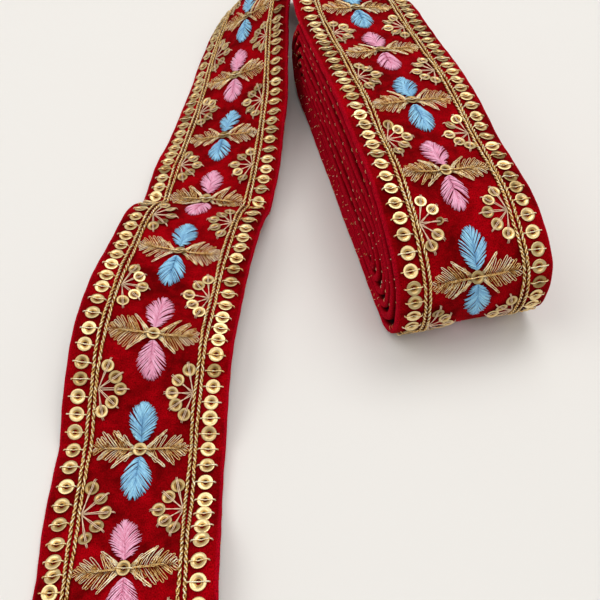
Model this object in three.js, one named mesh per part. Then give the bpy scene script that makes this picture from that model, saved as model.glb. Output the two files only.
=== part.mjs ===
// Roll of embroidered velvet trim with one loose end, lying on a table.
// The trim is a red velvet ribbon with two corded borders and a row of crossed flowers. Most of it is
// wound flat into a long low roll. The outer turn leaves the roll at its far end, turns round on its
// edge in a tall loop, and comes back beside the roll as a loose end that lies on the table in two waves.
// Millimetres, +Z up, +Y along the roll away from its near end, +X across it.

import * as THREE from 'three';

// The trim, across and along
const trimWidth = 55;
const trimHalf = trimWidth / 2;
const trimThick = 2;
const repeatLength = 39.4;
const clearance = 0.3;

// Raised work on the face
const cordAt = 17.2;
const cordHalf = 1.2;
const cordHeight = 0.8;
const petalFromCentre = 9.8;
const petalHalfLength = 8.4;
const petalHalfWidth = 4.8;
const petalHeight = 1.1;
const leafFromCentre = 8.6;
const leafHalfLength = 7.4;
const leafHalfHeight = 5.4;
const leafHeight = 0.9;

// How the trim lies from its cut end to the near end of the roll: a row for each flower and for the
// place halfway between two flowers. x, y and z are the middle of the face. bank is the angle in
// degrees by which the edge on the inside of the loop stands up.
const firstRow = -2;
const trimRows = [
  { x: -134.5, y: -99.5, z: 2.9, bank: 1 },
  { x: -130.0, y: -80.5, z: 4.5, bank: 5 },
  { x: -126.2, y: -62.1, z: 6.3, bank: 9 },
  { x: -123.2, y: -43.5, z: 3.0, bank: 2 },
  { x: -118.8, y: -23.0, z: 4.1, bank: 2 },
  { x: -114.3, y: -5.9, z: 11.0, bank: -2 },
  { x: -108.9, y: 11.8, z: 17.7, bank: -5 },
  { x: -102.8, y: 30.4, z: 17.3, bank: -7 },
  { x: -96.0, y: 48.9, z: 16.6, bank: -1 },
  { x: -88.7, y: 67.2, z: 14.8, bank: 1 },
  { x: -81.1, y: 84.7, z: 8.8, bank: 5 },
  { x: -74.3, y: 103.1, z: 9.1, bank: 6 },
  { x: -68.0, y: 121.6, z: 9.2, bank: 13 },
  { x: -61.7, y: 139.9, z: 10.9, bank: 19 },
  { x: -56.0, y: 158.1, z: 14.3, bank: 27 },
  { x: -50.4, y: 176.5, z: 17.4, bank: 32 },
  { x: -43.6, y: 193.2, z: 23.0, bank: 38 },
  { x: -37.0, y: 211.4, z: 27.6, bank: 50 },
  { x: -26.9, y: 227.8, z: 29.4, bank: 64 },
  { x: -9.1, y: 234.8, z: 29.4, bank: 75 },
  { x: 7.9, y: 226.3, z: 29.4, bank: 72 },
  { x: 12.4, y: 208.0, z: 32.6, bank: 57 },
  { x: 8.0, y: 189.9, z: 38.2, bank: 36 },
  { x: 1.8, y: 171.9, z: 42.6, bank: 14 },
  { x: 0, y: 153.4, z: 43.4, bank: 4 },
  { x: 0, y: 133.8, z: 44.2, bank: 3 },
  { x: 0, y: 114.5, z: 46.2, bank: 3.5 },
  { x: 0, y: 95.1, z: 48.0, bank: 3.5 },
  { x: 0, y: 75.6, z: 48.8, bank: 4.5 },
  { x: 0, y: 56.2, z: 47.2, bank: 6 },
  { x: 0, y: 36.7, z: 47.2, bank: 5.5 },
  { x: 0, y: 17.5, z: 43.3, bank: 1.5 },
  { x: 0, y: 0, z: 32.4, bank: -1 },
  { x: 0, y: -2.2, z: 13.5, bank: 0 },
  { x: 0, y: 9.0, z: 0, bank: 0 },
  { x: 0, y: 28.7, z: 0, bank: 0 },
];
const looseFrom = -1.5;
const looseTo = 22;
const frontTo = 32;
const stepsPerRow = 4;

// Soft creases across the loose end, where it was folded flat before: row, depth and reach in rows
const creases = [
  { at: 2.1, deep: 1.2, reach: 0.5 },
  { at: 7.85, deep: 2.6, reach: 0.5 },
];

// The rest of the roll's outline, seen from its side: the flat spot that it lies on, and its far end
const flatSpot = [{ y: 9, z: 0 }, { y: 150, z: 0 }];
const farEnd = [
  { y: 150, z: 0 },
  { y: 160, z: 1.6 },
  { y: 167, z: 9 },
  { y: 168.5, z: 20 },
  { y: 165.5, z: 28.5 },
  { y: 160, z: 34.6 },
];
const flatSteps = 10;
const farSteps = 14;

// The wound turns. On both sides of the roll their edges stand out, with a gap between each two, round the
// flat middle that they are wound on. A turn moves in while it comes up the far end.
const turns = 6.4;
const gaps = 6;
const gapFrom = 0.6;
const gapDepth = 5;
const gapSlant = 0.06;
const movedIn = 0.5;
const core = { nearY: 33, farY: 143, nearZ: 16, farZ: 16.5 };

const velvet = new THREE.MeshStandardMaterial({ color: 0x9c0615, roughness: 0.92, metalness: 0 });
const woundVelvet = new THREE.MeshStandardMaterial({ color: 0x8a0512, roughness: 0.94, metalness: 0 });

// Columns across the trim where its height can change, from one edge to the other
const columnsOneSide = [2.6, 5.2, 9.6, 14.4, cordAt - cordHalf, cordAt, cordAt + cordHalf, trimHalf];
const columns = [...columnsOneSide.map((v) => -v).reverse(), 0, ...columnsOneSide];
const backColumns = [trimHalf, cordAt, 0, -cordAt, -trimHalf];

function smoothCurve(points) {
  const tension = 0.5;
  return new THREE.CatmullRomCurve3(points, false, 'catmullrom', tension);
}

const lie = smoothCurve(trimRows.map((row) => new THREE.Vector3(row.x, row.y, row.z)));
const banks = smoothCurve(trimRows.map((row) => new THREE.Vector3(row.bank, 0, 0)));

// How far along those curves a row stands, from 0 to 1
function placeOf(row) {
  return (row - firstRow) / (trimRows.length - 1);
}

function creaseDrop(row) {
  let drop = 0;
  for (const crease of creases) {
    const away = Math.abs(row - crease.at) / crease.reach;
    if (away < 1) drop += crease.deep * (1 - away) ** 2;
  }
  return drop;
}

function middleOfTrim(row) {
  const point = lie.getPoint(placeOf(row));
  point.z -= creaseDrop(row);
  return point;
}

// The trim's own directions at a row: along it, across it and out of its face
function directionsAt(row) {
  const reach = 0.1;
  const along = middleOfTrim(row + reach).sub(middleOfTrim(row - reach)).normalize();
  const level = new THREE.Vector3().crossVectors(along, new THREE.Vector3(0, 0, 1)).normalize();
  const risen = new THREE.Vector3().crossVectors(level, along);
  const bank = THREE.MathUtils.degToRad(banks.getPoint(placeOf(row)).x);
  const across = level.multiplyScalar(Math.cos(bank)).addScaledVector(risen, Math.sin(bank));
  const out = new THREE.Vector3().crossVectors(across, along);
  return { across, out };
}

function mound(away, height) {
  return away < 1 ? height * Math.sqrt(1 - away * away) : 0;
}

// Height of the raised work over the velvet: two corded borders, and a cross of petals and leaves
// at each whole flower
function raisedWork(row, v) {
  const fromFlower = (row / 2 - Math.round(row / 2)) * repeatLength;
  const cord = mound(Math.abs(Math.abs(v) - cordAt) / cordHalf, cordHeight);
  const petal = mound(
    Math.hypot((Math.abs(fromFlower) - petalFromCentre) / petalHalfLength, v / petalHalfWidth), petalHeight);
  const leaf = mound(
    Math.hypot((Math.abs(v) - leafFromCentre) / leafHalfLength, fromFlower / leafHalfHeight), leafHeight);
  return Math.max(cord, petal, leaf);
}

function pointOnTrim(row, v, height) {
  const { across, out } = directionsAt(row);
  return middleOfTrim(row).addScaledVector(across, v).addScaledVector(out, height);
}

// One closed solid through rings of equally many points, each ring counter-clockwise seen from ahead
function loft(rings) {
  const count = rings[0].length;
  const positions = rings.flat().flatMap((p) => [p.x, p.y, p.z]);
  const faces = [];
  for (let ring = 0; ring < rings.length - 1; ring++) {
    for (let i = 0; i < count; i++) {
      const next = (i + 1) % count;
      const a = ring * count + i;
      const b = ring * count + next;
      faces.push(a, b, b + count, a, b + count, a + count);
    }
  }
  const last = (rings.length - 1) * count;
  for (const [p, q, r] of zippedTriangles(rings[0])) faces.push(p, r, q);
  for (const [p, q, r] of zippedTriangles(rings[rings.length - 1])) faces.push(last + p, last + q, last + r);
  const geometry = new THREE.BufferGeometry();
  geometry.setAttribute('position', new THREE.Float32BufferAttribute(positions, 3));
  geometry.setIndex(faces);
  geometry.computeVertexNormals();
  return geometry;
}

// Triangles that close a long ring: they zip its two sides together from its first point to its middle
function zippedTriangles(ring) {
  const triangles = [];
  let ahead = 0;
  let behind = ring.length - 1;
  while (ahead + 1 < behind) {
    const stepAhead = ring[ahead + 1].distanceTo(ring[behind]);
    const stepBehind = ring[ahead].distanceTo(ring[behind - 1]);
    if (stepAhead < stepBehind) {
      triangles.push([ahead, ahead + 1, behind]);
      ahead += 1;
    } else {
      triangles.push([ahead, behind - 1, behind]);
      behind -= 1;
    }
  }
  return triangles;
}

// The loose end: a thin sheet from the cut end, over the two waves and round the loop, to the roll
function looseEnd() {
  const steps = Math.round((looseTo - looseFrom) * stepsPerRow);
  const rings = [];
  for (let i = 0; i <= steps; i++) {
    const row = looseFrom + (looseTo - looseFrom) * (i / steps);
    const face = columns.map((v) => pointOnTrim(row, v, raisedWork(row, v)));
    const back = backColumns.map((v) => pointOnTrim(row, v, -trimThick));
    rings.push([...face, ...back]);
  }
  return new THREE.Mesh(loft(rings), velvet);
}

// The roll's outline in one plane across it: the outer turn from the loop to the near end, the flat
// spot, the far end, and the step on which the trim leaves the roll. The top leans with the trim's
// bank, and the raised work stands on it.
function outlineAt(v) {
  const x = -v;
  const outline = [];
  const steps = (frontTo - looseTo) * stepsPerRow;
  for (let i = 0; i <= steps; i++) {
    const row = looseTo + i / stepsPerRow;
    const point = pointOnTrim(row, v, raisedWork(row, v));
    outline.push(new THREE.Vector3(x, point.y, Math.max(point.z, 0)));
  }
  outline[0].y -= clearance;
  for (let i = 1; i <= flatSteps; i++) {
    const y = THREE.MathUtils.lerp(flatSpot[0].y, flatSpot[1].y, i / flatSteps);
    outline.push(new THREE.Vector3(x, y, 0));
  }
  const step = pointOnTrim(looseTo, v, -trimThick - clearance);
  const places = [...farEnd, { y: step.y - clearance, z: step.z }];
  const curve = smoothCurve(places.map((place) => new THREE.Vector3(x, place.y, place.z)));
  for (const point of curve.getPoints(farSteps).slice(1)) {
    outline.push(new THREE.Vector3(x, point.y, Math.max(point.z, 0)));
  }
  return outline;
}

// One ring further in on the side of the roll, as many turns in from its outline as turn says
function innerRing(outline, turn, x) {
  const last = outline.length - 1;
  return outline.map((point, i) => {
    const climbed = Math.max(0, (i - last + farSteps) / farSteps);
    const moved = movedIn * climbed ** 1.5;
    const share = (turn + moved) / (turns + moved);
    const place = i < last ? point : point.clone().lerp(outline[last - 1], 0.5);
    const y = THREE.MathUtils.clamp(place.y, core.nearY, core.farY);
    const z = THREE.MathUtils.mapLinear(y, core.nearY, core.farY, core.nearZ, core.farZ);
    return new THREE.Vector3(
      x, THREE.MathUtils.lerp(place.y, y, share), THREE.MathUtils.lerp(place.z, z, share));
  });
}

function sideRings(outline, side) {
  const edge = side * trimHalf;
  const floor = side * (trimHalf - gapDepth);
  const rings = [];
  for (let turn = 0; turn < gaps; turn++) {
    rings.push(innerRing(outline, turn + gapFrom, edge));
    rings.push(innerRing(outline, turn + gapFrom + gapSlant, floor));
    rings.push(innerRing(outline, turn + 1 - gapSlant, floor));
    rings.push(innerRing(outline, turn + 1, edge));
  }
  return rings;
}

function woundRoll() {
  const across = columns.map((v) => outlineAt(v)).reverse();
  const left = sideRings(across[0], -1).reverse();
  const right = sideRings(across[across.length - 1], 1);
  return new THREE.Mesh(loft([...left, ...across, ...right]), woundVelvet);
}

const roll = woundRoll();
roll.name = 'roll';
const loose = looseEnd();
loose.name = 'loose_end';

// The origin stands under the middle of the whole, on the table
const trim = new THREE.Group();
trim.add(roll, loose);
const box = new THREE.Box3().setFromObject(trim);
const middle = box.getCenter(new THREE.Vector3());
trim.position.set(-middle.x, -middle.y, 0);

export default trim;
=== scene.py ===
# A roll of embroidered velvet trim whose loose end lies beside it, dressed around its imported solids.
# The script follows the trim as it is made: the velvet is cut and wound, then the cords, sequins, flowers
# and leaves are sewn on it. Metres, +Z up, +Y along the roll, in the frame of the solids.

import math

import bpy
import numpy as np
from mathutils import Matrix, Vector


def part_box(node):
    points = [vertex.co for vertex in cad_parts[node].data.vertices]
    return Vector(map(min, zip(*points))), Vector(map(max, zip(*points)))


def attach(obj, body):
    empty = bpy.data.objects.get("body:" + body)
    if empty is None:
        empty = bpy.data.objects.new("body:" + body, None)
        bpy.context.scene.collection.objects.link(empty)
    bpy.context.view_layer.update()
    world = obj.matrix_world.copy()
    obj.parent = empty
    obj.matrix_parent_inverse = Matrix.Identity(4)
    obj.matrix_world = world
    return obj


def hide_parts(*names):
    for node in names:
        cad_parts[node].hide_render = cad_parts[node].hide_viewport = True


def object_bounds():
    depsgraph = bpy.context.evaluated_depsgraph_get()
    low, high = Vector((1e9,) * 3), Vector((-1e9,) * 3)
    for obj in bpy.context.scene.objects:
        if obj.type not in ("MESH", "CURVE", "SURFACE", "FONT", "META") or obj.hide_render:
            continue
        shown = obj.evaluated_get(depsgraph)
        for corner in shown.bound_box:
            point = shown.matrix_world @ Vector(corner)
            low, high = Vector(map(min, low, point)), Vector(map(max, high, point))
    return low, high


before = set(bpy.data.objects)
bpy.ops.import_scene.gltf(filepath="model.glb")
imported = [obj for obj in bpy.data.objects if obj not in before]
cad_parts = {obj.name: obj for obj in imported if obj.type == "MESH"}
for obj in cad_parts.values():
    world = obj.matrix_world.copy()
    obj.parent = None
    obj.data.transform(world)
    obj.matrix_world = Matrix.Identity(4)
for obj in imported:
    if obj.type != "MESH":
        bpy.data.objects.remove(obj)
solid_box = [list(corner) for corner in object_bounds()]
mm = 0.001


# The camera stands above the near end of the roll and looks down along it, a little to the right,
# with the loose end on its left.
def aim_camera():
    place = Vector((-27.45, -225.36, 226.0)) * mm
    turn_right = math.radians(12)
    look_down = math.radians(50.5)
    tilt = math.radians(-0.85)
    ahead = Vector((
        math.sin(turn_right) * math.cos(look_down),
        math.cos(turn_right) * math.cos(look_down),
        -math.sin(look_down),
    ))
    level = Vector((math.cos(turn_right), -math.sin(turn_right), 0))
    rise = level.cross(ahead)
    right = level * math.cos(tilt) + rise * math.sin(tilt)
    up = rise * math.cos(tilt) - level * math.sin(tilt)
    camera = bpy.data.objects.new("camera", bpy.data.cameras.new("camera"))
    camera.data.lens = 46.13
    camera.data.sensor_width = 36
    camera.data.clip_start = 0.01
    camera.matrix_world = Matrix.Translation(place) @ Matrix((right, up, -ahead)).transposed().to_4x4()
    bpy.context.scene.collection.objects.link(camera)
    bpy.context.scene.camera = camera


aim_camera()


# Shader maths reads as plain expressions on the sockets of one material: numbers through Math nodes,
# colours and vectors through Vector Math and Mix nodes, and any other node through node(). The floor and
# the lights that follow are plain: pale paper, and soft lamps in a pale room.
class Wire:
    def __init__(self, tree, socket=None):
        self.tree = tree
        self.socket = socket

    def node(self, kind, settings=None, sockets=None, out=0):
        made = self.tree.nodes.new(kind)
        for name, value in (settings or {}).items():
            if name == "stops":
                self.set_stops(made.color_ramp, value)
            else:
                setattr(made, name, value)
        for name, value in (sockets or {}).items():
            if isinstance(value, Wire):
                self.tree.links.new(value.socket, made.inputs[name])
            else:
                made.inputs[name].default_value = value
        return Wire(self.tree, made.outputs[out] if len(made.outputs) else made)

    @staticmethod
    def set_stops(ramp, stops):
        while len(ramp.elements) < len(stops):
            ramp.elements.new(1)
        for element, (place, color) in zip(ramp.elements, stops):
            element.position = place
            element.color = (*color, 1)

    def maths(self, operation, first, second):
        is_number = self.socket.type == "VALUE"
        kind = "ShaderNodeMath" if is_number else "ShaderNodeVectorMath"
        if not is_number:
            first, second = (v if isinstance(v, Wire) else (v,) * 3 for v in (first, second))
        return self.node(kind, {"operation": operation}, {0: first, 1: second})

    def __add__(self, other):
        return self.maths("ADD", self, other)

    def __radd__(self, other):
        return self.maths("ADD", other, self)

    def __sub__(self, other):
        return self.maths("SUBTRACT", self, other)

    def __rsub__(self, other):
        return self.maths("SUBTRACT", other, self)

    def __mul__(self, other):
        return self.maths("MULTIPLY", self, other)

    def __rmul__(self, other):
        return self.maths("MULTIPLY", other, self)

    def __truediv__(self, other):
        return self.maths("DIVIDE", self, other)

    def clamped(self):
        """The number kept from 0 to 1."""
        return self.node("ShaderNodeClamp", None, {"Value": self})

    def step(self, low, high):
        """From 0 below low to 1 above high."""
        return ((self - low) / (high - low)).clamped()

    def mix(self, dark, light):
        """The colour between two colours that this share gives."""
        sockets = {0: self}
        for place, color in ((6, dark), (7, light)):
            sockets[place] = color if isinstance(color, Wire) else (*color, 1)
        return self.node("ShaderNodeMix", {"data_type": "RGBA"}, sockets, out=2)

    def times(self, sizes):
        """Each of three values times its own size."""
        return self.node("ShaderNodeVectorMath", {"operation": "MULTIPLY"}, {0: self, 1: sizes})

    def noise(self, scale, detail, rough=0.5):
        return self.node("ShaderNodeTexNoise", None,
                         {"Vector": self, "Scale": scale, "Detail": detail, "Roughness": rough}, out="Fac")

    def bump(self, height, strength, distance):
        return self.node("ShaderNodeBump", None,
                         {"Height": height, "Strength": strength, "Distance": distance}, out="Normal")


def finish_material(name, describe):
    """A material whose describe(wire) gives the values and links of its shader's sockets."""
    material = bpy.data.materials.new(name)
    material.use_nodes = True
    tree = material.node_tree
    tree.nodes.clear()
    wire = Wire(tree)
    shader = wire.node("ShaderNodeBsdfPrincipled", None, describe(wire), out="BSDF")
    wire.node("ShaderNodeOutputMaterial", None, {"Surface": shader})
    return material


def plain_floor():
    side = 6
    # A hair below the part, so that their faces never coincide
    below = 0.05 * mm
    mesh = bpy.data.meshes.new("floor")
    corners = [(-side, -side, 0), (side, -side, 0), (side, side, 0), (-side, side, 0)]
    mesh.from_pydata(corners, [], [(0, 1, 2, 3)])
    floor = bpy.data.objects.new("floor", mesh)
    bpy.context.scene.collection.objects.link(floor)
    floor.location.z = solid_box[0][2] - below
    floor.data.materials.append(finish_material("floor_paper", lambda wire: {
        "Base Color": (0.83, 0.815, 0.79, 1),
        "Roughness": 0.9,
        "Specular IOR Level": 0.1,
    }))


def soft_light():
    """A pale room all round, darker towards its floor, and three large soft lamps."""
    world = bpy.data.worlds.new("studio")
    world.use_nodes = True
    tree = world.node_tree
    tree.nodes.clear()
    wire = Wire(tree)
    height = wire.node("ShaderNodeTexCoord", out="Generated")
    height = wire.node("ShaderNodeSeparateXYZ", None, {0: height}, out="Z")
    sky = height.step(-0.5, 0.9).mix((0.34, 0.325, 0.31), (1.0, 0.985, 0.965))
    shader = wire.node("ShaderNodeBackground", None, {"Color": sky, "Strength": 0.47})
    wire.node("ShaderNodeOutputWorld", None, {"Surface": shader})
    bpy.context.scene.world = world
    aim = Vector((0, 0, 0.02))
    for name, place, size, watts in (
        ("lamp_window", (0.4, 0.5, 1.25), 0.8, 7.6),
        ("lamp_front", (0.2, -0.85, 1.2), 1.0, 4.6),
        ("lamp_left", (-0.75, 0.15, 1.2), 0.9, 5.2),
    ):
        lamp = bpy.data.lights.new(name, "AREA")
        lamp.size = size
        lamp.energy = watts
        lamp.color = (1.0, 0.985, 0.96)
        stand = bpy.data.objects.new(name, lamp)
        stand.location = place
        stand.rotation_euler = (aim - Vector(place)).to_track_quat("-Z", "Y").to_euler()
        bpy.context.scene.collection.objects.link(stand)
    bpy.context.scene.view_settings.view_transform = "Standard"


plain_floor()
soft_light()


# The velvet: one strip of red short-pile velvet on a woven back, 55 mm wide. Its far part is wound flat
# into the roll, and the outer turn leaves the roll's far end, turns round on its edge in a loop and
# comes back to lie beside the roll in two waves.
trim_width = 55
half_width = trim_width / 2
repeat = 39.4
row_length = repeat / 2
thick = 2.0
# The middle of the face at each flower and halfway between two flowers, from past the cut end to the roll's
# underside, in millimetres from the middle of the roll's near end: x, y, z, and the bank in degrees by which
# the edge on the inside of the loop stands up
first_row = -2
lie_of_trim = np.array([
    (-134.5, -99.5, 2.9, 1),
    (-130.0, -80.5, 4.5, 5),
    (-126.2, -62.1, 6.3, 9),
    (-123.2, -43.5, 3.0, 2),
    (-118.8, -23.0, 4.1, 2),
    (-114.3, -5.9, 11.0, -2),
    (-108.9, 11.8, 17.7, -5),
    (-102.8, 30.4, 17.3, -7),
    (-96.0, 48.9, 16.6, -1),
    (-88.7, 67.2, 14.8, 1),
    (-81.1, 84.7, 8.8, 5),
    (-74.3, 103.1, 9.1, 6),
    (-68.0, 121.6, 9.2, 13),
    (-61.7, 139.9, 10.9, 19),
    (-56.0, 158.1, 14.3, 27),
    (-50.4, 176.5, 17.4, 32),
    (-43.6, 193.2, 23.0, 38),
    (-37.0, 211.4, 27.6, 50),
    (-26.9, 227.8, 29.4, 64),
    (-9.1, 234.8, 29.4, 75),
    (7.9, 226.3, 29.4, 72),
    (12.4, 208.0, 32.6, 57),
    (8.0, 189.9, 38.2, 36),
    (1.8, 171.9, 42.6, 14),
    (0.0, 153.4, 43.4, 4),
    (0.0, 133.8, 44.2, 3),
    (0.0, 114.5, 46.2, 3.5),
    (0.0, 95.1, 48.0, 3.5),
    (0.0, 75.6, 48.8, 4.5),
    (0.0, 56.2, 47.2, 6),
    (0.0, 36.7, 47.2, 5.5),
    (0.0, 17.5, 43.3, 1.5),
    (0.0, 0.0, 32.4, -1),
    (0.0, -2.2, 13.5, 0),
    (0.0, 9.0, 1.5, 0),
    (0.0, 28.7, 1.5, 0),
])
# The rows at which the strip is cut, comes on the roll, lies straight on it and goes under it
cut_row = -1.5
roll_row = 22
straight_from = 27
under_row = 32
# The lowest y of the roll's solid in these measures
roll_near_y = -3.99
# The rest of the roll's outer turn, seen from its side: along the table and up round its far end (y, z)
under_and_far_end = [(9, 1.5), (28.7, 1.5), (80, 1.5), (130, 1.5), (147, 1.6), (160, 4.2), (167.3, 12.5),
                     (168.2, 21), (165.5, 28.5), (161, 35.3), (157, 40), (153.4, 43.4)]
# The flat middle that the turns are wound round, and how many turns lie round it
core_near = (33, 16)
core_far = (143, 16.5)
turns = 6.4
# How much of a turn's room the velvet's edge fills, its least and greatest thickness there, and the rows
# over which it comes to that from its own thickness. The filling stays clear of the next turn.
wound_share = 0.62
edge_least = 1.2
edge_most = 3.1
settles_over = 0.7
clear = 0.1
# The share of its way round a turn at which it starts to come up the far end, and to move in
far_end_from = 0.84
# Soft creases across the loose end: row, depth and reach in rows
creases = ((2.1, 1.2, 0.5), (7.85, 2.6, 0.5))
# The row at which the outer turn has gone once round and is covered by its own start
covered_row = 43
# The height to which the sewing is pressed from where the strip runs under the roll
pressed_height = 1.1
# How deep each flower's stitches pull the velvet in, and how far across
flower_pull = 0.1
flower_spread = 9.0
rng = np.random.default_rng(7)


def smooth_line(points, places):
    """Points on the smooth line through the given points, at places counted in points from the first."""
    ends = np.vstack([2 * points[0] - points[1], points, 2 * points[-1] - points[-2]])
    start = np.clip(np.floor(places).astype(int), 0, len(points) - 2)
    t = (places - start)[:, None]
    p0, p1, p2, p3 = (ends[start + i] for i in range(4))
    slope1 = (p2 - p0) / 2
    slope2 = (p3 - p1) / 2
    return ((2 * t**3 - 3 * t**2 + 1) * p1 + (t**3 - 2 * t**2 + t) * slope1
            + (3 * t**2 - 2 * t**3) * p2 + (t**3 - t**2) * slope2)


def unit(vectors):
    """The same directions with a length of 1."""
    return vectors / np.linalg.norm(vectors, axis=-1, keepdims=True)


def lengths_along(points):
    """How far along its line each point lies."""
    return np.concatenate([[0], np.cumsum(np.linalg.norm(np.diff(points, axis=0), axis=1))])


def loose_and_outer_line():
    """Rows and (x, y, z, bank) of the face's middle line, from the cut end to the underside of the roll."""
    step = 0.02
    rows = np.arange(cut_row, under_row + 0.001, step)
    line = smooth_line(lie_of_trim, rows - first_row)
    for row, deep, reach in creases:
        line[:, 2] -= deep * np.clip(1 - np.abs(rows - row) / reach, 0, 1) ** 2
    return rows, line


def room_inside(y, z):
    """The way from places on the outline to the flat middle (y, z), and the room of one turn there."""
    core_y = np.clip(y, core_near[0], core_far[0])
    core_z = np.interp(core_y, (core_near[0], core_far[0]), (core_near[1], core_far[1]))
    return core_y - y, core_z - z, np.hypot(core_y - y, core_z - z) / turns


def wound_line(line):
    """The line from the underside on, up round the far end and inwards turn by turn, and its room."""
    top = line[:, 1:]
    rest_points = np.array([(y, z, 0) for y, z in under_and_far_end], float)
    rest = smooth_line(rest_points, np.linspace(0, len(rest_points) - 1, 460))
    outline = np.vstack([top, rest[1:]])
    # On the last stretch the bank comes back to what it is where the trim leaves the roll
    banked = 60
    outline[-banked:, 2] = np.linspace(0, top[0, 2], banked)
    run = lengths_along(outline[:, :2])
    round_length = run[-1]
    step = 0.0012
    turn = np.arange(run[len(top) - 1] / round_length, turns, step)
    y, z, bank = (np.interp((turn % 1) * round_length, run, outline[:, i]) for i in range(3))
    moved_in = np.clip((turn % 1 - far_end_from) / (1 - far_end_from), 0, 1) ** 1.5
    slack = 0.02 * np.sin(turn * 2 * math.pi * 2.3) + 0.016 * np.sin(turn * 2 * math.pi * 3.7 + 1.1)
    share = (np.floor(turn) + moved_in) / turns + slack * np.clip((turn - 1) * 4, 0, 1)
    in_y, in_z, room = room_inside(y, z)
    wound = np.stack([np.zeros_like(y), y + in_y * share, z + in_z * share, bank * (1 - share)], 1)
    return wound, room


def trim_samples():
    """Places along the whole strip: rows, middles of the face, its directions across and out, and room."""
    rows, line = loose_and_outer_line()
    on_roll = rows >= roll_row - 1e-6
    wound, room = wound_line(line[on_roll])
    top_room = room_inside(line[:, 1], line[:, 2])[2]
    top_room = np.interp(rows, (roll_row, roll_row + settles_over), (0, 1)) * (top_room - thick) + thick
    wound_rows = under_row + lengths_along(wound[:, 1:3]) / row_length
    rows = np.concatenate([rows, wound_rows[1:]])
    room = np.concatenate([top_room, room[1:]])
    line = np.vstack([line, wound[1:]])
    middle = line[:, :3]
    along = unit(np.gradient(middle, axis=0))
    level = np.cross(along, (0, 0, 1))
    level[rows > straight_from] = (-1, 0, 0)
    level = unit(level)
    bank = np.radians(line[:, 3:4])
    across = unit(np.cos(bank) * level + np.sin(bank) * np.cross(level, along))
    return rows, middle, across, unit(np.cross(across, along)), room[:, None]


sample_rows, sample_middle, sample_across, sample_out, sample_room = trim_samples()
roll_low, roll_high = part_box("roll")
to_frame = np.array([
    (roll_low.x + roll_high.x) / 2 / mm,
    roll_low.y / mm - roll_near_y,
    roll_low.z / mm,
])


def at_rows(values, rows):
    """Values of the samples at other rows."""
    return np.stack([np.interp(rows, sample_rows, column) for column in values.T], -1)


def pucker(rows, across):
    """How much the velvet stands up between its stitches, in millimetres."""
    along = rows * row_length
    waves = (0.08 * np.sin(along * 0.23 + across * 0.11) * np.cos(across * 0.17 + 0.7 + along * 0.05)
             + 0.05 * np.sin(along * 0.37 - across * 0.21 + 2.0)
             + 0.05 * np.sin(across * 0.33 + along * 0.13))
    flower = np.cos(rows * math.pi) * np.exp(-(across / flower_spread) ** 2) * flower_pull
    return np.where(rows < under_row, waves - flower, 0.0)


def on_trim(across, along, height):
    """Points in the frame from millimetres across the trim, along it and above its face."""
    rows = along / row_length
    pressed = np.where(rows > under_row, np.minimum(height, pressed_height), height)
    lift = pressed + pucker(rows, across)
    points = (at_rows(sample_middle, rows) + at_rows(sample_across, rows) * across[..., None]
              + at_rows(sample_out, rows) * lift[..., None])
    return (points + to_frame) * mm


def make_piece(name, points, faces, materials, places, face_materials=None):
    """A mesh piece from its points, groups of faces with equally many corners, and named places on it."""
    mesh = bpy.data.meshes.new(name)
    mesh.vertices.add(len(points))
    mesh.vertices.foreach_set("co", np.ascontiguousarray(points, np.float32).ravel())
    corners = np.concatenate([group.ravel() for group in faces])
    sizes = np.concatenate([np.full(len(group), group.shape[1]) for group in faces])
    mesh.loops.add(len(corners))
    mesh.loops.foreach_set("vertex_index", corners.astype(np.int32))
    mesh.polygons.add(len(sizes))
    mesh.polygons.foreach_set("loop_start", np.concatenate([[0], np.cumsum(sizes)[:-1]]).astype(np.int32))
    if face_materials is not None:
        mesh.polygons.foreach_set("material_index", face_materials.astype(np.int32))
    mesh.polygons.foreach_set("use_smooth", np.full(len(sizes), True))
    for label, values in places.items():
        attribute = mesh.attributes.new(label, "FLOAT_VECTOR", "POINT")
        attribute.data.foreach_set("vector", np.ascontiguousarray(values, np.float32).ravel())
    mesh.update(calc_edges=True)
    for material in materials:
        mesh.materials.append(material)
    piece = bpy.data.objects.new(name, mesh)
    bpy.context.scene.collection.objects.link(piece)
    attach(piece, "root")
    return piece


def ring_faces(rings, around):
    """Four-cornered faces between rings of points that close on themselves."""
    ring = np.arange(rings - 1)[:, None] * around
    here = np.arange(around)[None, :]
    following = (here + 1) % around
    faces = np.stack([ring + here, ring + following, ring + following + around, ring + here + around], -1)
    return faces.reshape(-1, 4)


# The strip's section: its edge as a distance in from the side and a share of the thickness, the number
# of columns of the face, which start further in, and where those of the back are
edge_round = ((1.6, 0.0), (0.7, 0.03), (0.2, 0.16), (0.0, 0.45), (0.08, 0.75), (0.5, 0.97))
face_columns = 14
face_inset = 3
back_columns = (25.5, 23, 21, 14, 5)
# Distances in from the side on the wound turns: where the sewing starts to fill the room between them,
# over what width it does, and the same two for the painted shade of the gap
sewing_from = 4.5
sewing_over = 2.0
gap_shade_from = 0.5
gap_shade_over = 2.2
# Rows from one section of the mesh to the next, on the part that shows and on the wound part
fine_step = 0.075
coarse_step = 0.14


def strip_section():
    """The strip's closed section, face first: across, depth as a share, and 1 on the woven back."""
    face_half = half_width - face_inset
    left = [(-half_width + inset, depth, 0) for inset, depth in edge_round]
    face = [(v, 0.0, 0) for v in np.linspace(-face_half, face_half, face_columns)]
    right = [(half_width - inset, depth, 0) for inset, depth in edge_round]
    back = [(v, 1.0, 1) for v in back_columns] + [(-v, 1.0, 1) for v in back_columns[::-1]]
    return np.array(left[::-1] + face + right + back)


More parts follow.
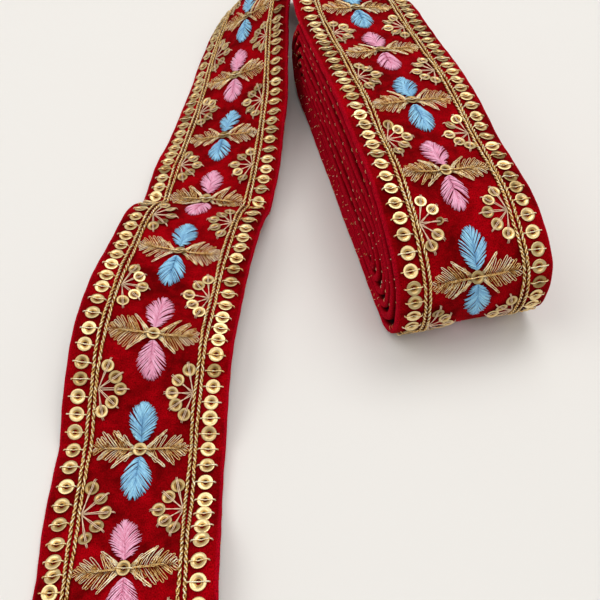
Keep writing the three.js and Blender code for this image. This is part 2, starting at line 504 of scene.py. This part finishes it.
def velvet_of(wire):
    """Red pile: patches where it is brushed, painted shade in the hollows between its tufts, a painted pale
    red sheen at the edges.
    """
    place = wire.node("ShaderNodeAttribute", {"attribute_name": "lie"}, out="Vector")
    unshaded_share = wire.node("ShaderNodeSeparateXYZ", None, {0: place}, out="Z")
    place = place.times((1, 1, 0))
    brushed = (place.noise(55, 4) * 0.6 + place.noise(240, 3, 0.6) * 0.4).step(0.39, 0.61)
    tufts = place.times((1, 0.7, 1)).noise(2600, 2, 0.7)
    # Painted shade: dark specks in the hollows between the tufts of the pile
    pit_shade = tufts.step(0.25, 0.6)
    from_middle = wire.node("ShaderNodeSeparateXYZ", None, {0: place}, out="X")
    from_middle = wire.node("ShaderNodeMath", {"operation": "ABSOLUTE"}, {0: from_middle})
    deep = brushed.mix((0.14, 0.0, 0.001), (0.47, 0.0, 0.005))
    # Painted sheen: a pale red band along both edges, where the pile is seen at a grazing angle
    painted_rim_sheen = from_middle.step(0.0262, 0.0274).mix(deep, (0.56, 0.002, 0.018))
    # Painted shade: deep in the gaps between the wound turns the velvet is painted near black
    color = unshaded_share.mix((0.02, 0.0, 0.0), pit_shade.mix((0.08, 0.0, 0.0), painted_rim_sheen))
    nap = tufts + place.noise(420, 2) * 0.8
    return {
        "Base Color": color,
        "Roughness": 0.95,
        "Specular IOR Level": 0.03,
        "Sheen Weight": 0.2,
        "Sheen Roughness": 0.25,
        "Sheen Tint": (1.0, 0.0, 0.03, 1),
        "Normal": wire.bump(nap, 0.6, 0.0004),
    }


def backing_of(wire):
    """Plain woven back, dull dark red, with threads both ways."""
    place = wire.node("ShaderNodeAttribute", {"attribute_name": "lie"}, out="Vector")
    threads = {"Vector": place, "Scale": 330.0}
    across = wire.node("ShaderNodeTexWave", {"bands_direction": "X"}, threads, out="Fac")
    along = wire.node("ShaderNodeTexWave", {"bands_direction": "Y"}, threads, out="Fac")
    weave = across * along + place.times((1, 1, 0)).noise(700, 2) * 0.4
    unshaded_share = wire.node("ShaderNodeSeparateXYZ", None, {0: place}, out="Z")
    red = weave.step(0.1, 1.0).mix((0.10, 0.003, 0.01), (0.26, 0.012, 0.03))
    return {
        # Painted shade: deep in the gaps between the wound turns the back is painted near black
        "Base Color": unshaded_share.mix((0.02, 0.0, 0.0), red),
        "Roughness": 0.9,
        "Normal": wire.bump(weave, 0.4, 0.0002),
    }


velvet = finish_material("velvet_red", velvet_of)
backing = finish_material("velvet_back", backing_of)


def rows_of_strip():
    """Rows at which the strip's mesh has a section: close on the loose end and the outer turn."""
    fine = np.arange(cut_row, covered_row, fine_step)
    coarse = np.arange(covered_row, sample_rows[-1], coarse_step)
    return np.concatenate([fine, coarse])


def edge_thickness(rows):
    """The velvet's own thickness at its edges, which stand apart on the roll."""
    room = at_rows(sample_room, rows)[..., 0]
    is_wound = np.clip((rows - roll_row) / settles_over, 0, 1)
    return thick + (np.clip(room * wound_share, edge_least, edge_most) - thick) * is_wound


def velvet_strip():
    rows = rows_of_strip()
    section = strip_section()
    grid_rows, v = np.meshgrid(rows, section[:, 0], indexing="ij")
    depth = np.broadcast_to(section[:, 1], v.shape)
    # Further in from its edges, the cords, sequins and flowers fill the room of each turn
    edge_thick = edge_thickness(grid_rows)
    spare = at_rows(sample_room, grid_rows)[..., 0] - edge_thick - clear
    filled = np.clip((half_width - np.abs(v) - sewing_from) / sewing_over, 0, 1) * section[:, 2]
    back = edge_thick + np.clip(spare, 0, None) * filled
    # The cut edges wander a little
    side = np.sign(v)
    edge_wave = 0.09 * np.sin(grid_rows * 2.9 + side) + 0.05 * np.sin(grid_rows * 13.1 + side * 2)
    v_placed = v + side * edge_wave * (np.abs(v) > half_width - face_inset)
    points = on_trim(v_placed, grid_rows * row_length, -depth * back)
    around = len(section)
    start_cap = np.arange(around)[None, :]
    end_cap = (len(rows) - 1) * around + start_cap
    faces = [ring_faces(len(rows), around)[:, ::-1], start_cap, end_cap[:, ::-1]]
    is_back = np.tile(section[:, 2] * np.roll(section[:, 2], -1), len(rows) - 1)
    face_materials = np.concatenate([is_back, [0, 0]])
    # Painted shade: the gaps between the wound turns are painted dark further in from the edges
    wound_face = np.clip((grid_rows - under_row) * 2, 0, 1) * (depth < 0.5)
    wound_back = np.clip((grid_rows - roll_row) * 2, 0, 1) * (depth >= 0.5)
    deep_in = np.clip((half_width - np.abs(v) - gap_shade_from) / gap_shade_over, 0, 1)
    unshaded_share = 1 - deep_in * (wound_face + wound_back)
    lie = np.stack([v * mm, grid_rows * row_length * mm, unshaded_share], -1)
    strip = make_piece("velvet_strip", points.reshape(-1, 3), faces, [velvet, backing],
                       {"lie": lie.reshape(-1, 3)}, face_materials)
    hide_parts("roll", "loose_end")
    length = (sample_rows[-1] - cut_row) * row_length
    length * mm


velvet_strip()


# The borders: along each side two gold chain cords, made of two metal-wrapped plies laid round each
# other, side by side with a dark line between them. A machine couches them to the velvet.

# Distances in millimetres: of the pair from the middle, of its cords from each other, of a ply from its
# cord's middle, and along the cord for one turn of its plies
cord_place = 17.2
cords_apart = 1.68
ply_swing = 0.35
lay_length = 3.5
ply_radius = 0.32
cord_height = 0.62
sewn_from = cut_row * row_length + 0.4
sewn_to = (covered_row + 1) * row_length


def tubes(paths, widths, heights, around, tones):
    """Closed tubes round paths given as (across, along, height): their points, faces and thread places."""
    count, steps, _ = paths.shape
    ahead = unit(np.gradient(paths, axis=1) + (0, 0, 1e-9))
    aside = np.cross(ahead, (0, 0, 1))
    aside = aside / np.maximum(np.linalg.norm(aside, axis=-1, keepdims=True), 1e-6)
    above = np.cross(aside, ahead)
    angle = np.arange(around) * 2 * math.pi / around
    points = (paths[:, :, None, :] + aside[:, :, None, :] * (widths[..., None] * np.cos(angle))[..., None]
              + above[:, :, None, :] * (heights[..., None] * np.sin(angle))[..., None])
    one = ring_faces(steps, around)
    starts = (np.arange(count) * steps * around)[:, None]
    sides = (one[None] + starts[:, :, None]).reshape(-1, 4)
    cap = np.arange(around)[None, :]
    caps = np.vstack([starts + cap[:, ::-1], starts + (steps - 1) * around + cap])
    run = np.linalg.norm(np.diff(paths, axis=1), axis=-1).cumsum(axis=1)
    run = np.concatenate([np.zeros((count, 1)), run], axis=1)
    shape = (count, steps, around)
    places = np.stack([
        np.broadcast_to(run[..., None], shape) * mm,
        np.broadcast_to(angle / (2 * math.pi), shape),
        np.broadcast_to(tones.reshape(count, -1, 1), shape),
    ], -1)
    return points, [sides, caps], places.reshape(-1, 3)


def sewn_tubes(name, paths, widths, heights, around, tones, material):
    """One piece of many threads that follow the trim."""
    widths = np.broadcast_to(widths, paths.shape[:2])
    heights = np.broadcast_to(heights, paths.shape[:2])
    points, faces, places = tubes(paths, widths, heights, around, tones)
    placed = on_trim(points[..., 0], points[..., 1], points[..., 2])
    return make_piece(name, placed.reshape(-1, 3), faces, [material], {"thread": places})


def thread_place(wire):
    """Along the thread in metres, round it as a share, and the thread's own tone."""
    place = wire.node("ShaderNodeAttribute", {"attribute_name": "thread"}, out="Vector")
    return [wire.node("ShaderNodeSeparateXYZ", None, {0: place}, out=axis) for axis in "XYZ"]


def painted_top_light(wire, turn):
    """Painted light and shade: from 0 at a thread's sides and underneath to 1 along its top."""
    return wire.node("ShaderNodeMath", {"operation": "SINE"}, {0: turn * (2 * math.pi)}).clamped()


def windings(wire, run, turn, spacing, slant=1):
    """Ridges of a yarn that is wound round the thread, from 0 to 1."""
    phase = (run / spacing + turn * slant) * (2 * math.pi)
    return wire.node("ShaderNodeMath", {"operation": "SINE"}, {0: phase}) * 0.5 + 0.5


def gold_cord_of(wire):
    """Metal-wrapped gold yarn: painted glints as bright flecks, painted light where a ply comes to the top,
    and painted shade, brown, where it dives and along its sides.
    """
    run, turn, tone = thread_place(wire)
    here = wire.node("ShaderNodeNewGeometry", out="Position")
    # Painted glints: bright flecks in the colour, where the cord is also smoother
    flecks = here.noise(1300, 2, 0.6).step(0.3, 0.7)
    wrap = windings(wire, run, turn, 0.00042)
    shade = (flecks * 0.55 + wrap * 0.1 + tone * 0.35 + painted_top_light(wire, turn) * 0.35 - 0.26).clamped()
    color = wire.node("ShaderNodeValToRGB", {"stops": (
        (0.15, (0.09, 0.024, 0.002)),
        (0.42, (0.46, 0.20, 0.03)),
        (0.62, (0.92, 0.58, 0.17)),
        (0.80, (1.0, 0.93, 0.66)),
    )}, {0: shade}, out="Color")
    return {
        "Base Color": color,
        "Metallic": 0.65,
        "Roughness": 0.42 - flecks * 0.2,
        "Normal": wire.bump(wrap + flecks * 0.6, 0.6, 0.00012),
    }


gold_cord = finish_material("gold_cord", gold_cord_of)


def chain_cords(name, side):
    """Both cords of one border. Their way along the velvet and the lay of their plies are uneven."""
    step = 0.4
    along = np.arange(sewn_from, sewn_to, step)
    paths = []
    tones = []
    for lane in (-1, 1):
        drift = (0.16 * np.sin(along * 0.19 + lane + side * 2)
                 + 0.07 * np.sin(along * 0.83 + lane * 2 + side))
        lay = along / lay_length * 2 * math.pi + 0.9 * np.sin(along * 0.31 + lane) + side
        for ply in (0, math.pi):
            turned = lane * lay + ply
            across = side * cord_place + lane * cords_apart / 2 + drift + ply_swing * np.cos(turned)
            height = cord_height + ply_swing * 0.85 * np.sin(turned)
            paths.append(np.stack([across, along, height], -1))
            # Painted light and shade: a ply's tone is its height, light on top and dark where it dives
            tones.append(0.5 + 0.5 * np.sin(turned))
    swell = ply_radius * (1 + 0.1 * np.sin(along * 2.3) + 0.06 * np.sin(along * 5.1 + 1))
    sewn_tubes(name, np.array(paths), swell, swell * 0.9, 5, np.array(tones), gold_cord)


chain_cords("left_cords", -1)
chain_cords("right_cords", 1)


# The border sequins: a row of 5 mm cupped gold sequins outside each pair of cords. One gold thread goes
# over each, from the cords through its hole to the edge side, and holds it flat.
sequin_radius = 2.5
border_place = 22.0
sequins_per_repeat = 7
# The share of sequins painted darker, as painted shade for sequins that lie so that they look dull
shaded_sequin_share = 0.16
# Half section of a cupped sequin: distance from its middle and height, from the hole's edge over the top
# to the rim and back underneath
cup = np.array([(0.64, -0.25), (0.66, 0.0), (0.84, 0.17), (1.08, 0.15), (1.3, 0.22), (1.46, 0.37),
                (2.36, 0.47), (2.5, 0.42), (2.48, 0.32), (1.4, 0.08), (0.74, -0.2)])
# Where a sequin's painted shade changes, in metres from its middle: from the dark hole, and from the darker
# bowl
hole_shade_rim = (0.00074, 0.00090)
bowl_shade_rim = (0.00118, 0.00140)


def sequin_shape(radius, around):
    """Points and faces of one sequin about its own middle."""
    angle = np.arange(around) * 2 * math.pi / around
    reach = cup[:, 0] * radius / sequin_radius
    points = np.stack([
        reach[:, None] * np.cos(angle), reach[:, None] * np.sin(angle),
        np.broadcast_to(cup[:, 1:2], (len(cup), around)),
    ], -1).reshape(-1, 3)
    ring = np.arange(len(cup))[:, None] * around
    following = np.roll(ring, -1)
    here = np.arange(around)[None, :]
    after = (here + 1) % around
    faces = np.stack([ring + here, following + here, following + after, ring + after], -1).reshape(-1, 4)
    return points, faces


def seats(across, along, height, lean):
    """Where stiff things sit on the trim: middles, and three directions, off level by some degrees."""
    rows = along / row_length
    sides = unit(at_rows(sample_across, rows))
    out = unit(at_rows(sample_out, rows))
    ahead = np.cross(out, sides)
    tip = np.radians(rng.normal(0, lean, (2, len(across))))[:, :, None]
    out = unit(out + sides * tip[0] + ahead * tip[1])
    sides = unit(sides - out * (sides * out).sum(-1, keepdims=True))
    middle = on_trim(across, along, np.broadcast_to(height, across.shape))
    return middle, np.stack([sides, np.cross(out, sides), out], 1)


def seated(points, middle, directions):
    """Points given in millimetres about each seat, in the frame."""
    return middle.reshape((-1,) + (1,) * (points.ndim - 2) + (3,)) + np.einsum(
        "n...i,nij->n...j", points, directions) * mm


def seated_sequins(name, radius, around, middle, directions, tones):
    """One piece of many sequins, a little uneven in size."""
    points, faces = sequin_shape(radius, around)
    count = len(middle)
    sizes = rng.uniform(0.97, 1.03, (count, 1, 1))
    placed = seated(points[None] * sizes, middle, directions)
    all_faces = (faces[None] + (np.arange(count) * len(points))[:, None, None]).reshape(-1, 4)
    places = np.broadcast_to(points[None] * mm, placed.shape).copy()
    places[..., 2] = tones[:, None]
    return make_piece(name, placed.reshape(-1, 3), [all_faces], [gold_sequin],
                      {"thread": places.reshape(-1, 3)})


def gold_sequin_of(wire):
    """Gold foil on film: satin rings pressed round the hole, painted shade in the hole and in the bowl round
    it, and a tone of its own for each sequin.
    """
    place = wire.node("ShaderNodeAttribute", {"attribute_name": "thread"}, out="Vector")
    flat_place = place.times((1, 1, 0))
    from_middle = wire.node("ShaderNodeVectorMath", {"operation": "LENGTH"}, {0: flat_place}, out="Value")
    tone = wire.node("ShaderNodeSeparateXYZ", None, {0: place}, out="Z")
    here = wire.node("ShaderNodeNewGeometry", out="Position")
    wear = here.noise(900, 3, 0.6)
    light = wear.mix((0.80, 0.53, 0.18), (1.0, 0.87, 0.53))
    color = (tone - wear * 0.12).step(0.0, 0.8).mix((0.20, 0.11, 0.02), light)
    # Painted shade: the bowl round the hole is painted darker, and the hole near black
    bowl = color.times((0.60, 0.44, 0.24))
    outer = from_middle.step(*bowl_shade_rim).mix(bowl, color)
    edge = from_middle.step(*hole_shade_rim).mix((0.07, 0.02, 0.004), outer)
    return {
        "Base Color": edge,
        "Metallic": 0.8,
        "Roughness": 0.27 + wear * 0.16,
        "Normal": wire.bump(wear, 0.25, 0.00006),
    }


gold_sequin = finish_material("gold_sequin", gold_sequin_of)


def gold_thread_of(wire):
    """Fine metal-wrapped gold thread, with painted shade, brown, in its hollows and along its sides, and
    painted glints as bright flecks.
    """
    run, turn, tone = thread_place(wire)
    here = wire.node("ShaderNodeNewGeometry", out="Position")
    flecks = here.noise(1300, 2, 0.6).step(0.3, 0.7)
    wrap = windings(wire, run, turn, 0.00022)
    shade = (flecks * 0.4 + wrap * 0.1 + tone * 0.5 + painted_top_light(wire, turn) * 0.35 - 0.24).clamped()
    color = wire.node("ShaderNodeValToRGB", {"stops": (
        (0.12, (0.17, 0.05, 0.006)),
        (0.36, (0.68, 0.33, 0.07)),
        (0.56, (1.0, 0.68, 0.24)),
        (0.78, (1.0, 0.97, 0.74)),
    )}, {0: shade}, out="Color")
    return {
        "Base Color": color,
        "Metallic": 0.5,
        "Roughness": 0.34,
        "Normal": wire.bump(wrap, 0.4, 0.00005),
    }


gold_thread = finish_material("gold_thread", gold_thread_of)
# The thread over a sequin, across the trim: distance from the middle in sequin radii, height, half width
over_sequin = np.array([(-1.3, -0.5, 0.16), (-1.24, 0.2, 0.27), (-1.06, 0.66, 0.23), (-0.75, 0.66, 0.2),
                        (-0.3, 0.42, 0.2), (0.0, 0.2, 0.2), (0.3, 0.42, 0.2), (0.75, 0.66, 0.2),
                        (1.06, 0.66, 0.23), (1.22, 0.2, 0.3), (1.3, -0.5, 0.2)])


def threads_over(name, middle, directions, radius):
    """One piece of the threads that hold sequins down, each a little off the middle."""
    count = len(middle)
    wander = rng.normal(0, 0.09, (count, 2))
    reach = over_sequin[None, :, 0] * radius * rng.uniform(0.97, 1.06, (count, 1))
    bend = wander[:, :1] * over_sequin[None, :, 0] + wander[:, 1:] * 0.8
    height = np.broadcast_to(over_sequin[None, :, 1], reach.shape)
    paths = np.stack([reach, bend, height], -1)
    widths = np.broadcast_to(over_sequin[None, :, 2], reach.shape)
    points, faces, places = tubes(paths, widths, widths * 0.9, 5, rng.uniform(0.5, 1, count))
    placed = seated(points, middle, directions)
    return make_piece(name, placed.reshape(-1, 3), faces, [gold_thread], {"thread": places})


def border_places(last):
    """Places of the border sequins along the trim, up to a last one."""
    pitch = repeat / sequins_per_repeat
    first = math.ceil(sewn_from / pitch + 0.6) * pitch
    return np.arange(first, last, pitch)


def border_sequins():
    along = border_places(sewn_to)
    for name, side in (("left", -1), ("right", 1)):
        place = along + rng.normal(0, 0.12, len(along))
        across = side * border_place + rng.normal(0, 0.13, len(along))
        middle, directions = seats(across, place, 0.3, 3.6)
        tones = np.clip(rng.normal(0.78, 0.16, len(along)), 0, 1)
        # Painted shade: these sequins are painted darker
        tones[rng.random(len(along)) < shaded_sequin_share] *= 0.4
        seated_sequins(f"{name}_border_sequins", sequin_radius, 22, middle, directions, tones)
        threads_over(f"{name}_border_threads", middle, directions, sequin_radius)


border_sequins()


# The edge stitches: the border threads come out at the velvet's edges as tiny gold stitches, under most of
# the sequins. They show as specks on the sides of the roll.
edge_thread = 0.12
# The share of the sequins that have one
edge_share = 0.6
# One stitch round the edge from below: distance in from the edge, depth as a share, and along the trim
round_edge = np.array([(0.5, 1.02, 0.0), (0.12, 0.9, 0.15), (-0.06, 0.72, 0.3), (0.1, 0.55, 0.4)])


def edge_stitches():
    along = border_places((sample_rows[-1] - 0.5) * row_length)
    for name, side in (("left", -1), ("right", 1)):
        place = along[rng.random(len(along)) < edge_share]
        place = place + rng.normal(0, 0.7, len(place))
        depth = edge_thickness(place / row_length)
        paths = np.stack([
            np.broadcast_to(side * (half_width - round_edge[:, 0]), (len(place), len(round_edge))),
            place[:, None] + round_edge[:, 2] * rng.uniform(-1.5, 1.5, (len(place), 1)),
            -depth[:, None] * round_edge[:, 1],
        ], -1)
        tones = rng.uniform(0.6, 1, len(place))
        sewn_tubes(f"{name}_edge_stitches", paths, edge_thread, edge_thread, 4, tones,
                   gold_thread)


edge_stitches()


# The fans: at both borders, halfway between two flowers, five 4.4 mm sequins stand round a point at the
# cords. A pale doubled thread runs from that point through each sequin's hole and over its far rim.
fan_point = 15.7
fan_radius = 2.2
# The one sequin that is folded up on its thread, near the front of the roll
folded_row = 29
folded_spoke = 2
folded_lie = np.array([(0.5, 0.1, -0.6), (-0.1, 0.7, 0.2), (0.7, 0.1, 0.5)])
# Sequin middles from the fan's point: inwards, and along the trim
fan_places = np.array([(2.3, -7.7), (5.3, -4.4), (7.3, 0.0), (5.2, 4.3), (2.0, 7.6)])
# A strand from the sequin's near rim to past its far one: distance from its middle in radii, and height
over_fan = np.array([(-1.05, 0.8), (-0.75, 0.78), (-0.3, 0.62), (0.0, 0.38), (0.3, 0.62), (0.75, 0.8),
                     (1.05, 0.8), (1.28, 0.35), (1.34, -0.1)])


def pale_thread_of(wire):
    """Pale pinkish gold thread with a fine twist."""
    run, turn, tone = thread_place(wire)
    twist = windings(wire, run, turn, 0.0004)
    # Painted light and shade: the thread is painted lighter along its top and darker at its sides
    shade = twist * 0.3 + tone * 0.3 + painted_top_light(wire, turn) * 0.5
    return {
        "Base Color": shade.mix((0.40, 0.17, 0.07), (1.0, 0.78, 0.56)),
        "Metallic": 0.25,
        "Roughness": 0.4,
        "Normal": wire.bump(twist, 0.5, 0.00006),
    }


pale_thread = finish_material("pale_gold_thread", pale_thread_of)


def fan_strands(start, end, strand):
    """One strand from the fan's point to past each sequin, as (across, along, height)."""
    apart = 0.42
    away = unit(end - start)
    aside = np.stack([-away[:, 1], away[:, 0]], -1) * strand * apart
    way = [(start, 0.3), (start * 0.7 + end * 0.3, 0.55)]
    way += [(end + aside + away * fan_radius * reach, height) for reach, height in over_fan]
    return np.stack([np.insert(flat, 2, height, axis=1) for flat, height in way], 1)


def fans():
    rows = np.arange(math.ceil(cut_row), covered_row + 1)
    rows = rows[rows % 2 == 1]
    for name, side in (("left", -1), ("right", 1)):
        row, spoke = (grid.ravel() for grid in np.meshgrid(rows, np.arange(5), indexing="ij"))
        count = len(row)
        offset = fan_places[spoke] + rng.normal(0, 0.22, (count, 2))
        across = side * (fan_point - offset[:, 0])
        along = row * row_length + offset[:, 1]
        middle, directions = seats(across, along, 0.35, 5)
        tones = np.clip(rng.normal(0.58, 0.18, count), 0, 1)
        folded = (row == folded_row) & (spoke == folded_spoke) & (side > 0)
        directions[folded] = folded_lie @ directions[folded]
        seated_sequins(f"{name}_fan_sequins", fan_radius, 18, middle, directions, tones)
        end = np.stack([across, along], -1)
        paths = []
        for strand in (-0.5, 0.5):
            start = np.stack([np.full(count, side * fan_point), row * row_length + strand * 0.5], -1)
            start = start + rng.normal(0, 0.1, (count, 2))
            paths.append(fan_strands(start, end, strand))
        paths = np.concatenate(paths)
        sewn_tubes(f"{name}_fan_threads", paths, 0.15, 0.14, 4, rng.uniform(0.3, 1, len(paths)),
                   pale_thread)


fans()


# The petals: each flower has two, along the trim, worked in satin stitch with blue or pink silk. The
# stitches slant out from a midrib, lie close in the middle and end in a ragged edge.
petal_from = 2.2
petal_to = 17.3
petal_half = 4.8
stitches_a_side = 32
over_stitches = 8
# How far the stitches slant from the midrib at its foot and at its tip, in degrees
foot_slant = 60
tip_slant = 12
# How much shorter the last petal is that runs under the roll
cut_by_turn = 9.5
# A stitch from the midrib to its tip: share of its length, height, half width, and tone, a painted shade
# that darkens its ends where it dives into the velvet
stitch_run = np.array([0.0, 0.14, 0.36, 0.62, 0.86, 1.0])
stitch_rise = np.array([0.2, 0.72, 0.95, 0.82, 0.5, 0.12])
stitch_width = np.array([0.16, 0.21, 0.22, 0.21, 0.18, 0.1])
stitch_shade = np.array([0.3, 0.75, 1.0, 1.1, 1.0, 0.6])


def leaf_outline(share):
    """Half width of a petal or leaf along its length, as a share of its widest."""
    return np.sin(math.pi * np.clip(share, 0, 1) ** 1.15) ** 0.66


def reach_of(start, slant, low, high, half):
    """How far a stitch goes from its place on the midrib to the outline."""
    reach = np.linspace(0.2, high - low, 160)[None, :]
    share = (start[:, None] + reach * np.cos(slant)[:, None] - low) / (high - low)
    inside = reach * np.sin(slant)[:, None] <= half * leaf_outline(share)
    last = np.where(inside, np.arange(160), 0).max(axis=1)
    return reach[0, last]


def silk_of(dark, light):
    def describe(wire):
        """Satin-stitch silk: fine strands along each stitch, painted shade where it dives into the velvet
        and along its sides, painted light along its top.
        """
        run, turn, tone = thread_place(wire)
        here = wire.node("ShaderNodeNewGeometry", out="Position")
        strands = windings(wire, run, turn, 0.0016, 3)
        flecks = here.noise(1100, 2).step(0.3, 0.7)
        shade = (tone * 0.5 + strands * 0.1 + flecks * 0.25 + painted_top_light(wire, turn) * 0.6 - 0.24).clamped()
        return {
            "Base Color": shade.mix(dark, light),
            "Roughness": 0.3,
            "Specular IOR Level": 0.5,
            "Sheen Weight": 0.35,
            "Sheen Roughness": 0.4,
            "Sheen Tint": (*light, 1),
            "Normal": wire.bump(strands, 0.5, 0.00008),
        }
    return describe


blue_silk = finish_material("blue_silk", silk_of((0.015, 0.17, 0.52), (0.40, 0.79, 1.0)))
pink_silk = finish_material("pink_silk", silk_of((0.68, 0.06, 0.20), (1.0, 0.55, 0.75)))


def petal_stitches(row):
    """Paths of the satin stitches of one flower, as (across, along, height)."""
    paths = []
    for ahead in (-1, 1):
        goes_under = row == under_row and ahead < 0
        low = petal_from + rng.uniform(-0.2, 0.3)
        high = petal_to + rng.uniform(-1.1, 0.6) - cut_by_turn * goes_under
        lean = rng.normal(0, 0.05)
        for side in (-1, 1):
            count = stitches_a_side + over_stitches
            share = np.concatenate([
                (np.arange(stitches_a_side) + 0.3) / stitches_a_side,
                rng.uniform(0.1, 0.95, over_stitches),
            ])
            share = np.clip(share + rng.normal(0, 0.012, count), 0, 1)
            start = low + (high - low) * (0.03 + 0.80 * share ** 1.15)
            slant = foot_slant - (foot_slant - tip_slant) * share ** 1.1
            slant = np.radians(slant + rng.normal(0, 3.5, count))
            reach = reach_of(start, slant, low, high, petal_half)
            reach = reach * rng.uniform(0.9, 1.06, count) + 0.3
            out = reach[:, None] * stitch_run[None, :]
            bow = 0.35 * np.sin(math.pi * stitch_run[None, :]) * rng.normal(0.3, 0.5, (count, 1))
            along = start[:, None] - 0.25 + out * np.cos(slant)[:, None] + bow * np.sin(slant)[:, None]
            across = side * (out * np.sin(slant)[:, None] - bow * np.cos(slant)[:, None] - 0.12)
            layer = np.where(np.arange(count) < stitches_a_side, 0.0, 0.14)[:, None]
            height = stitch_rise[None, :] + layer + rng.normal(0, 0.09, (count, 1))
            across = across + lean * along
            paths.append(np.stack([across, row * row_length + ahead * along, height], -1))
    return np.concatenate(paths)


def past_cut(paths):
    """Which threads the cut end has left on the strip."""
    return paths[:, :, 1].min(axis=1) > sewn_from


def petals(name, first, material):
    rows = np.arange(first, covered_row + 1, 4)
    paths = np.concatenate([petal_stitches(row) for row in rows])
    paths = paths[past_cut(paths)]
    # Each stitch's random tone times the painted shade along it
    tones = rng.uniform(0.15, 1, (len(paths), 1)) * stitch_shade
    sewn_tubes(name, paths, stitch_width, stitch_width * 0.9, 5, tones, material)


petals("pink_petals", 0, pink_silk)
petals("blue_petals", -2, blue_silk)


# The gold leaves and sprigs: across each flower lie two leaves of looped gold thread on a twisted spine,
# and four small sprigs of long loops lie between the leaves and the petals. A sequin covers the middle.
leaf_from = 1.7
leaf_to = 15.7
leaf_half = 5.8
spine_to = 12.5
loops_a_side = 10
short_loops = 6
spine_strands = 3
sprig_loops = 3
leaf_thread = 0.12
flower_rows = np.arange(-2, covered_row + 1, 2)
# How far the loops slant from the spine at its foot and at its tip, in degrees
loop_foot_slant = 66
loop_tip_slant = 38
# One loop of thread from its foot out and back: along it and across it as shares, and height
loop_run = np.array([0.0, 0.4, 0.75, 0.95, 1.0, 0.95, 0.75, 0.4, 0.0])
loop_side = np.array([-0.5, -0.95, -1.0, -0.75, 0.0, 0.75, 1.0, 0.95, 0.5])
loop_rise = np.array([0.3, 1.0, 0.9, 0.7, 0.6, 0.68, 0.85, 0.95, 0.25])


def loops(start, slant, reach, width, rise):
    """Loops of thread from places on a leaf's spine: distance along the spine, off it, and height."""
    run = loop_run[None, :] * reach[:, None]
    aside = loop_side[None, :] * width[:, None] - 0.06 * loop_run[None, :] ** 2 * reach[:, None]
    along = start[:, None] + run * np.cos(slant)[:, None] - aside * np.sin(slant)[:, None]
    off = run * np.sin(slant)[:, None] + aside * np.cos(slant)[:, None]
    height = loop_rise[None, :] * rise[:, None]
    return along, off, height


def leaf_loops(row):
    """Paths of one flower's gold threads, as (across, along, height), and their tones."""
    paths = []
    tones = []
    for side in (-1, 1):
        lean = rng.normal(0, 0.04)
        for ahead in (-1, 1):
            count = loops_a_side + short_loops
            share = np.concatenate([
                (np.arange(loops_a_side) + 0.2) / loops_a_side,
                rng.uniform(0, 0.8, short_loops),
            ])
            start = leaf_from + (leaf_to - leaf_from) * (0.03 + 0.92 * share ** 0.85)
            start = start + rng.normal(0, 0.1, count)
            slant = loop_foot_slant - (loop_foot_slant - loop_tip_slant) * share
            slant = np.radians(slant + rng.normal(0, 4.5, count))
            reach = reach_of(start, slant, leaf_from - 1.5, leaf_to + 0.3, leaf_half)
            reach = np.maximum(reach * rng.uniform(0.82, 1.12, count), 1.3)
            reach[loops_a_side:] *= 0.55
            width = rng.uniform(0.3, 0.42, count)
            rise = rng.uniform(0.75, 1.15, count)
            along, off, height = loops(start, slant, reach, width, rise)
            across = side * along
            paths.append(np.stack([across, row * row_length + ahead * off + lean * across, height], -1))
            # Painted shade: the short loops, an under layer below the long ones, are painted darker
            tones.append(rng.uniform(0.3, 1.0, count) - 0.5 * (np.arange(count) >= loops_a_side))
        for strand in range(spine_strands):
            run = np.linspace(leaf_from + 0.2, spine_to - 1.4 * strand, 9)
            wave = 0.34 * np.sin(run * 1.3 + strand * 2.1 + row)
            height = 0.85 + 0.15 * np.cos(run * 1.7 + strand * 2.1) - 0.5 * (run > run[-2])
            along = row * row_length + wave + lean * side * run
            paths.append(np.stack([side * run, along, height], -1)[None])
            tones.append([0.4])
        for ahead in (-1, 1):
            slant = np.radians(rng.normal(45, 3) + np.linspace(-3, 3, sprig_loops))
            start = 1.2 + np.linspace(-0.5, 0.5, sprig_loops)
            reach = rng.uniform(8.4, 9.8, sprig_loops)
            width = rng.uniform(0.26, 0.36, sprig_loops)
            rise = rng.uniform(1.1, 1.4, sprig_loops)
            along, off, height = loops(start, slant, reach, width, rise)
            paths.append(np.stack([side * along, row * row_length + ahead * off, height], -1))
            tones.append(rng.uniform(0.6, 1.0, sprig_loops))
    return np.concatenate(paths), np.concatenate(tones)


def gold_leaves():
    flowers = [leaf_loops(row) for row in flower_rows]
    paths = np.concatenate([paths for paths, _ in flowers])
    tones = np.concatenate([tones for _, tones in flowers])
    kept = past_cut(paths)
    sewn_tubes("gold_leaves", paths[kept], leaf_thread, leaf_thread, 4, tones[kept],
               gold_thread)


def middle_sequins():
    radius = 2.3
    along = flower_rows * row_length
    along = along[along > sewn_from + sequin_radius]
    middle, directions = seats(rng.normal(0, 0.15, len(along)), along, 0.85, 5)
    seated_sequins("flower_sequins", radius, 20, middle, directions, rng.uniform(0.2, 0.5, len(along)))
    threads_over("flower_threads", middle, directions, radius)


gold_leaves()
middle_sequins()
